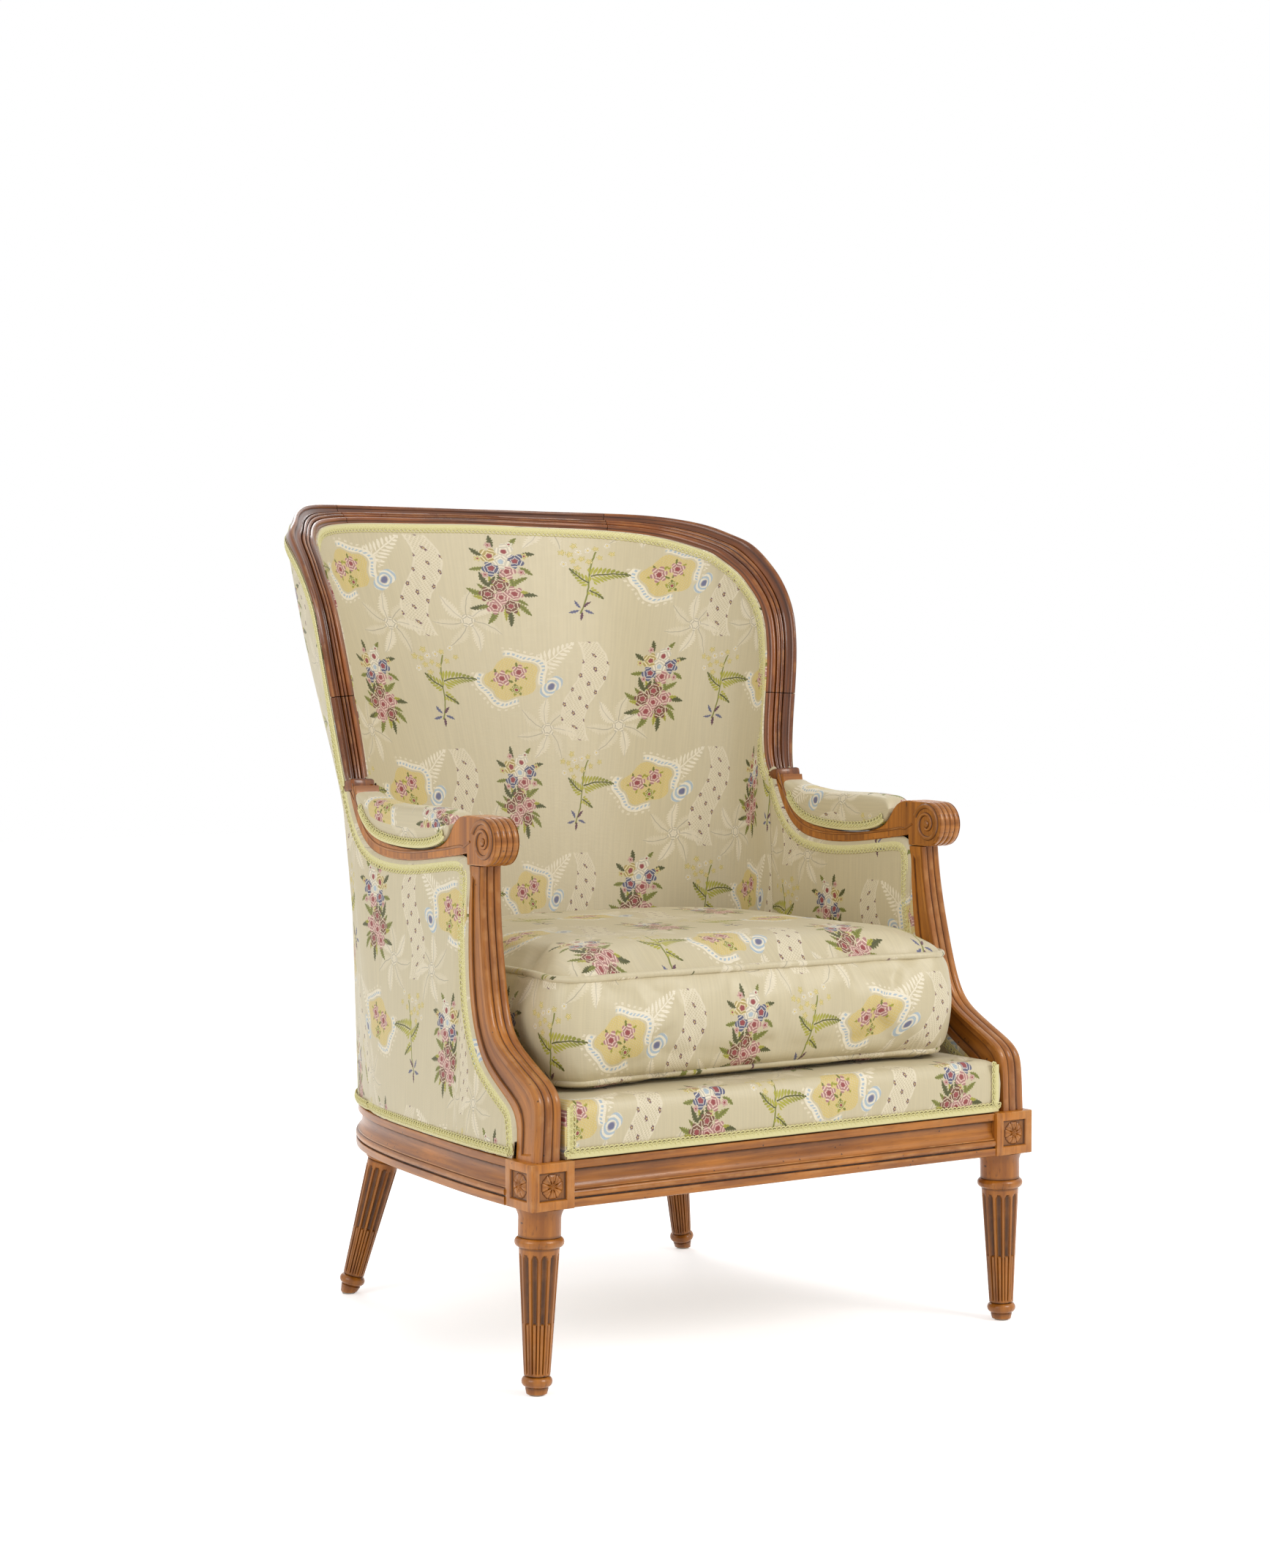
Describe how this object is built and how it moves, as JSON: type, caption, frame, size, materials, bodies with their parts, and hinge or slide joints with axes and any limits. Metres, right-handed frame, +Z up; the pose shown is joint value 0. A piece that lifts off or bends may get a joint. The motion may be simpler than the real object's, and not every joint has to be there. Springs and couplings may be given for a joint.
{
  "type": "bergere armchair",
  "caption": "Carved wooden armchair with a curved wraparound back, closed upholstered arms, fluted legs, floral silk covers and a loose box seat cushion.",
  "frame": {"origin": "on the floor, under the middle of the chair's plan", "axes": "+Z up, the chair faces -Y, +X to the right of someone looking at its front"},
  "size_m": [0.713, 0.7508, 0.9886],
  "materials": {
    "show_wood": "waxed and polished, worn at the edges",
    "frame_wood": "raw, hidden inside the upholstery",
    "silk": "satin silk with a woven floral pattern",
    "stuffing": "stitched hair stuffing",
    "hessian": "coarse plain weave",
    "webbing": "twilled linen web",
    "gimp": "looped silk braid",
    "glide": "dull, scuffed",
    "filling": "feather filling in a plain case"
  },
  "bodies": {
    "chair": {"front_leg_left": "show_wood", "front_leg_right": "show_wood", "back_leg_left": "show_wood", "back_leg_right": "show_wood", "front_seat_rail": "show_wood", "side_seat_rail_left": "show_wood", "side_seat_rail_right": "show_wood", "back_seat_rail": "show_wood", "arm_support_left": "show_wood", "arm_support_right": "show_wood", "arm_left": "show_wood", "arm_right": "show_wood", "wing_stile_left": "show_wood", "wing_stile_right": "show_wood", "shoulder_left": "show_wood", "shoulder_right": "show_wood", "crest_rail": "show_wood", "corner_braces": "frame_wood", "back_upright_left": "frame_wood", "back_upright_right": "frame_wood", "lower_back_rail": "frame_wood", "inside_back_cover": "silk", "outside_back_cover": "silk", "inside_arm_cover_left": "silk", "inside_arm_cover_right": "silk", "outside_arm_cover_left": "silk", "outside_arm_cover_right": "silk", "outside_wing_cover_left": "silk", "outside_wing_cover_right": "silk", "seat_cover": "silk", "arm_pad_left": "silk", "arm_pad_right": "silk", "inside_back_stuffing": "stuffing", "inside_arm_stuffing_left": "stuffing", "inside_arm_stuffing_right": "stuffing", "seat_stuffing": "stuffing", "inside_back_hessian": "hessian", "seat_hessian": "hessian", "seat_webbing": "webbing", "gimp_back_inside": "gimp", "gimp_back_outside": "gimp", "gimp_rail": "gimp", "gimp_arm_inside_left": "gimp", "gimp_arm_inside_right": "gimp", "gimp_arm_outside_left": "gimp", "gimp_arm_outside_right": "gimp", "gimp_pad_left": "gimp", "gimp_pad_right": "gimp", "gimp_seat_front": "gimp", "foot_glides": "glide"},
    "cushion": {"cushion_filling": "filling", "cushion_cover": "silk", "cushion_piping_lower": "silk", "cushion_piping_upper": "silk"}
  },
  "joints": [
    {"name": "cushion_lift", "type": "slide", "parent": "chair", "child": "cushion", "axis": [0, 0, 1], "range_m": [0, 0.7]}
  ]
}
